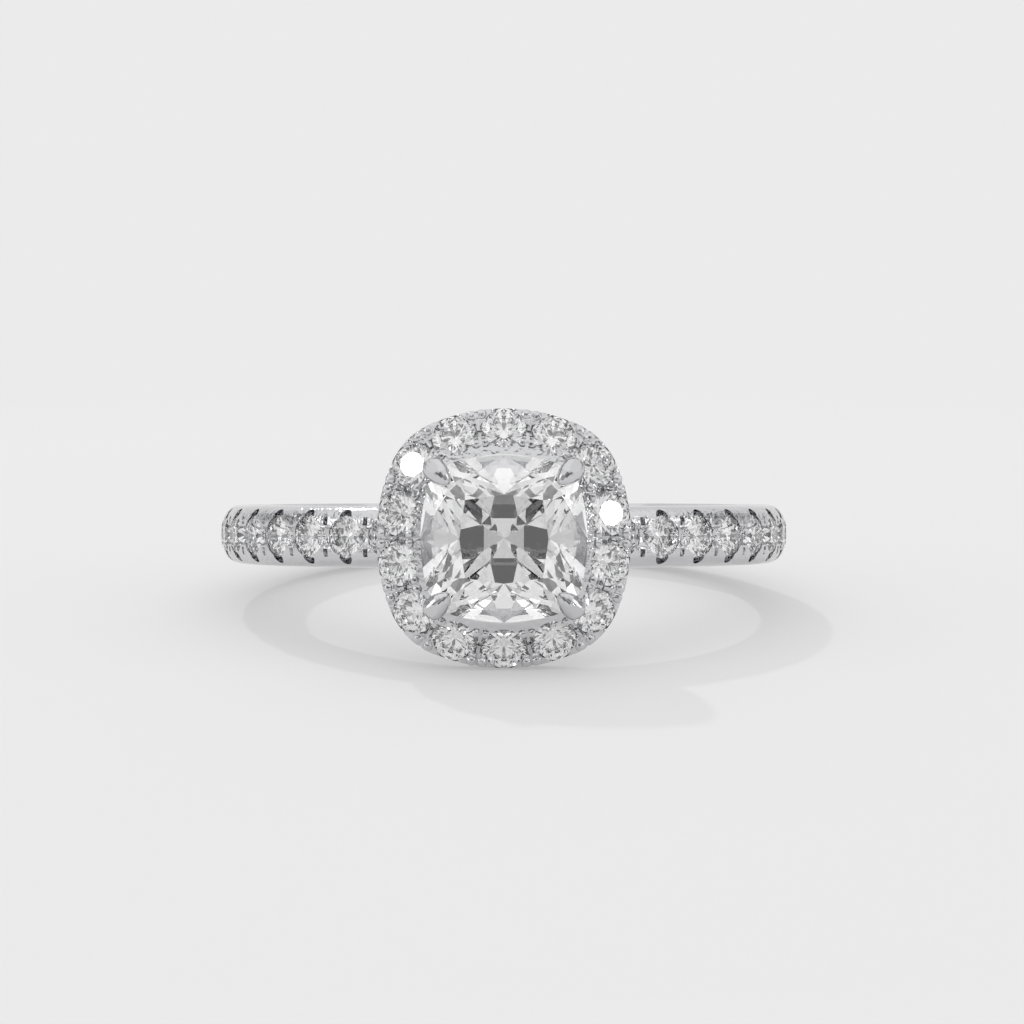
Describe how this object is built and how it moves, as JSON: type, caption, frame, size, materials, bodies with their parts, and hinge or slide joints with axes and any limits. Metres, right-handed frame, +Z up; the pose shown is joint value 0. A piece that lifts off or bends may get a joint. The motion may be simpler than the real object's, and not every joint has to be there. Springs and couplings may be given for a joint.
{
  "type": "halo ring",
  "caption": "Halo ring: cushion-cut centre stone in four claws, a ring of round brilliants round it, and more down the shoulders of a slim band.",
  "frame": {"origin": "middle of the footprint, on the floor that the ring lies on", "axes": "+Z up, the head points to -Y and a little up, +X to the right as the head is seen from the front"},
  "size_m": [0.02, 0.0228, 0.0084],
  "materials": {
    "white_gold": "rhodium plated, mirror polished",
    "centre_diamond": "colourless, polished facets",
    "small_diamond": "colourless, polished facets"
  },
  "bodies": {
    "root": {"mounting": "white_gold", "centre_stone": "centre_diamond", "halo_stone_01": "small_diamond", "halo_stone_02": "small_diamond", "halo_stone_03": "small_diamond", "halo_stone_04": "small_diamond", "halo_stone_05": "small_diamond", "halo_stone_06": "small_diamond", "halo_stone_07": "small_diamond", "halo_stone_08": "small_diamond", "halo_stone_09": "small_diamond", "halo_stone_10": "small_diamond", "halo_stone_11": "small_diamond", "halo_stone_12": "small_diamond", "halo_stone_13": "small_diamond", "halo_stone_14": "small_diamond", "shank_stone_01": "small_diamond", "shank_stone_02": "small_diamond", "shank_stone_03": "small_diamond", "shank_stone_04": "small_diamond", "shank_stone_05": "small_diamond", "shank_stone_06": "small_diamond", "shank_stone_07": "small_diamond", "shank_stone_08": "small_diamond", "shank_stone_09": "small_diamond", "shank_stone_10": "small_diamond", "shank_stone_11": "small_diamond", "shank_stone_12": "small_diamond", "shank_stone_13": "small_diamond", "shank_stone_14": "small_diamond", "shank_stone_15": "small_diamond", "shank_stone_16": "small_diamond"}
  },
  "joints": []
}
